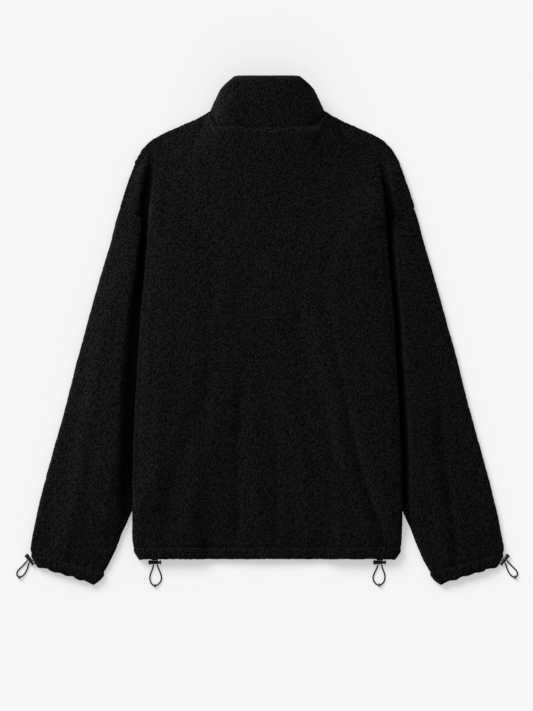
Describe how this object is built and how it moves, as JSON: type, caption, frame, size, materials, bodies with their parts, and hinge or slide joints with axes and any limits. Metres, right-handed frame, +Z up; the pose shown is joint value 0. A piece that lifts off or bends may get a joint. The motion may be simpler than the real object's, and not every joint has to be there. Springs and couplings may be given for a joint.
{
  "type": "zip-up sweatshirt",
  "caption": "Zip-up sherpa fleece sweatshirt with a stand collar and dropped shoulders, laid flat back side up, with cord locks at hem and cuffs.",
  "frame": {"origin": "middle of the garment's outline in plan, on the surface that it lies on, without the cord loops", "axes": "+Z up from the surface, +Y from the hem to the collar, +X to the right when the back is seen with the collar at the top (the wearer's right side)"},
  "size_m": [0.8042, 0.818, 0.0501],
  "materials": {
    "fleece": "matt black knitted sherpa pile",
    "binding": "smooth matt black stretch binding",
    "webbing": "matt black woven zip tape",
    "zip_teeth": "moulded, satin black",
    "black_metal": "satin black lacquer",
    "lock_plastic": "glossy black",
    "cord": "braided black elastic cord"
  },
  "bodies": {
    "garment": {"back": "fleece", "collar": "fleece", "collar_binding": "binding", "front_left": "fleece", "front_right": "fleece", "sleeve_left": "fleece", "sleeve_right": "fleece", "zip_chain": "zip_teeth", "zip_slider": "black_metal", "zip_tape_left": "webbing", "zip_tape_right": "webbing", "cord_tab_left": "fleece", "cord_tab_right": "fleece", "cord_lock_hem_left": "lock_plastic", "cord_lock_hem_right": "lock_plastic", "cord_lock_cuff_left": "lock_plastic", "cord_lock_cuff_right": "lock_plastic", "cord_loop_hem_left": "cord", "cord_loop_hem_right": "cord", "cord_loop_cuff_left": "cord", "cord_loop_cuff_right": "cord", "cord_crimp_hem_left": "black_metal", "cord_crimp_hem_right": "black_metal", "cord_crimp_cuff_left": "black_metal", "cord_crimp_cuff_right": "black_metal"},
    "pull_tab": {"zip_pull_tab": "black_metal"},
    "button_hem_left": {"lock_button_hem_left": "lock_plastic"},
    "button_hem_right": {"lock_button_hem_right": "lock_plastic"},
    "button_cuff_left": {"lock_button_cuff_left": "lock_plastic"},
    "button_cuff_right": {"lock_button_cuff_right": "lock_plastic"}
  },
  "joints": [
    {"name": "pull_tab_hinge", "type": "hinge", "parent": "garment", "child": "pull_tab", "pos_m": [0, 0.33165, 0.0011], "axis": [1, 0, 0], "range_deg": [0, 150]},
    {"name": "button_hem_left_press", "type": "slide", "parent": "garment", "child": "button_hem_left", "axis": [-1, 0, 0], "range_m": [0, 0.003], "stiffness_N_per_m": 300, "springref_m": -0.0015},
    {"name": "button_hem_right_press", "type": "slide", "parent": "garment", "child": "button_hem_right", "axis": [-1, 0, 0], "range_m": [0, 0.003], "stiffness_N_per_m": 300, "springref_m": -0.0015},
    {"name": "button_cuff_left_press", "type": "slide", "parent": "garment", "child": "button_cuff_left", "axis": [-0.6, 0.8, 0], "range_m": [0, 0.003], "stiffness_N_per_m": 300, "springref_m": -0.0015},
    {"name": "button_cuff_right_press", "type": "slide", "parent": "garment", "child": "button_cuff_right", "axis": [0.6, 0.8, 0], "range_m": [0, 0.003], "stiffness_N_per_m": 300, "springref_m": -0.0015}
  ]
}
